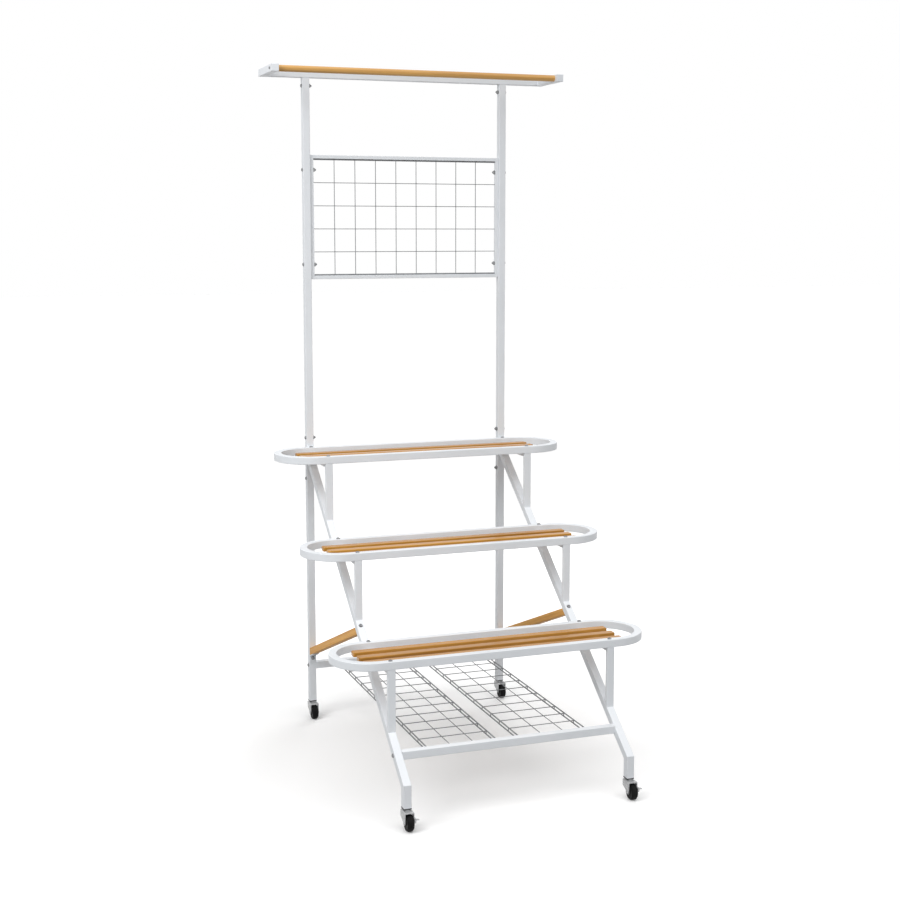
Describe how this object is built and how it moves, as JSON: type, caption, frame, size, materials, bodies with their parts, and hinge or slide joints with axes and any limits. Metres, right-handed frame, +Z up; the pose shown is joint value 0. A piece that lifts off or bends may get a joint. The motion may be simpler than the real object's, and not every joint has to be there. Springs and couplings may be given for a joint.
{
  "type": "tiered plant stand",
  "caption": "Stepped plant stand on swivel casters: white tube frame, wood slat shelves in looped rings, wire grid panel, wire bottom shelf and a hanging bar on top.",
  "frame": {"origin": "on the floor under the middle of the stand's outline", "axes": "+Z up, +X to the right along the shelves, -Y towards the front feet"},
  "size_m": [0.8428, 0.929, 1.836],
  "materials": {
    "white_paint": "satin powder coat",
    "wood": "clear satin varnish",
    "wire": "satin grey",
    "bolt_steel": "dark zinc",
    "bright_steel": "zinc plated",
    "black_wheel": "satin",
    "black_plastic": "matte"
  },
  "bodies": {
    "frame": {"bar_screws": "bolt_steel", "brace_inserts": "bright_steel", "brace_left": "wood", "brace_right": "wood", "brace_screws": "bolt_steel", "brace_strap_left": "white_paint", "brace_strap_right": "white_paint", "caster_sockets": "black_plastic", "caster_stems": "bright_steel", "crossbar_front": "white_paint", "crossbar_plugs": "bright_steel", "crossbar_rear": "white_paint", "frame_bolts_long": "bolt_steel", "frame_bolts_short": "bolt_steel", "frame_nuts": "bolt_steel", "grid_panel_frame": "white_paint", "grid_panel_mesh": "wire", "hanging_bar": "wood", "joint_sleeve_left": "bright_steel", "joint_sleeve_right": "bright_steel", "ring_bolts": "bolt_steel", "ring_inserts": "bright_steel", "shelf_ring_lower": "white_paint", "shelf_ring_middle": "white_paint", "shelf_ring_upper": "white_paint", "side_frame_left": "white_paint", "side_frame_right": "white_paint", "slat_lower_centre": "wood", "slat_lower_front": "wood", "slat_lower_rear": "wood", "slat_middle_centre": "wood", "slat_middle_front": "wood", "slat_middle_rear": "wood", "slat_screws": "bolt_steel", "slat_upper_centre": "wood", "slat_upper_front": "wood", "slat_upper_rear": "wood", "top_frame": "white_paint", "upright_lower_left": "white_paint", "upright_lower_right": "white_paint", "upright_upper_left": "white_paint", "upright_upper_right": "white_paint", "wire_shelf_left": "wire", "wire_shelf_right": "wire"},
    "swivel_front_left": {"fork_front_left": "bright_steel", "axle_front_left": "bright_steel", "brake_pin_left": "bright_steel"},
    "wheel_front_left": {"wheel_front_left": "black_wheel"},
    "swivel_front_right": {"fork_front_right": "bright_steel", "axle_front_right": "bright_steel", "brake_pin_right": "bright_steel"},
    "wheel_front_right": {"wheel_front_right": "black_wheel"},
    "swivel_rear_left": {"fork_rear_left": "bright_steel", "axle_rear_left": "bright_steel"},
    "wheel_rear_left": {"wheel_rear_left": "black_wheel"},
    "swivel_rear_right": {"fork_rear_right": "bright_steel", "axle_rear_right": "bright_steel"},
    "wheel_rear_right": {"wheel_rear_right": "black_wheel"},
    "brake_left": {"brake_lever_left": "bright_steel"},
    "brake_right": {"brake_lever_right": "bright_steel"}
  },
  "joints": [
    {"name": "swivel_front_left", "type": "hinge", "parent": "frame", "child": "swivel_front_left", "pos_m": [-0.291, -0.4255, 0.0449], "axis": [0, 0, 1], "continuous": true},
    {"name": "roll_front_left", "type": "hinge", "parent": "swivel_front_left", "child": "wheel_front_left", "pos_m": [-0.291, -0.4445, 0.02], "axis": [1, 0, 0], "continuous": true},
    {"name": "swivel_front_right", "type": "hinge", "parent": "frame", "child": "swivel_front_right", "pos_m": [0.291, -0.4255, 0.0449], "axis": [0, 0, 1], "continuous": true},
    {"name": "roll_front_right", "type": "hinge", "parent": "swivel_front_right", "child": "wheel_front_right", "pos_m": [0.291, -0.4445, 0.02], "axis": [1, 0, 0], "continuous": true},
    {"name": "swivel_rear_left", "type": "hinge", "parent": "frame", "child": "swivel_rear_left", "pos_m": [-0.291, 0.4465, 0.0449], "axis": [0, 0, 1], "continuous": true},
    {"name": "roll_rear_left", "type": "hinge", "parent": "swivel_rear_left", "child": "wheel_rear_left", "pos_m": [-0.291, 0.4275, 0.02], "axis": [1, 0, 0], "continuous": true},
    {"name": "swivel_rear_right", "type": "hinge", "parent": "frame", "child": "swivel_rear_right", "pos_m": [0.291, 0.4465, 0.0449], "axis": [0, 0, 1], "continuous": true},
    {"name": "roll_rear_right", "type": "hinge", "parent": "swivel_rear_right", "child": "wheel_rear_right", "pos_m": [0.291, 0.4275, 0.02], "axis": [1, 0, 0], "continuous": true},
    {"name": "brake_press_left", "type": "hinge", "parent": "swivel_front_left", "child": "brake_left", "pos_m": [-0.2788, -0.4539, 0.03], "axis": [0, 1, 0], "range_deg": [0, 15]},
    {"name": "brake_press_right", "type": "hinge", "parent": "swivel_front_right", "child": "brake_right", "pos_m": [0.3032, -0.4539, 0.03], "axis": [0, 1, 0], "range_deg": [0, 15]}
  ]
}
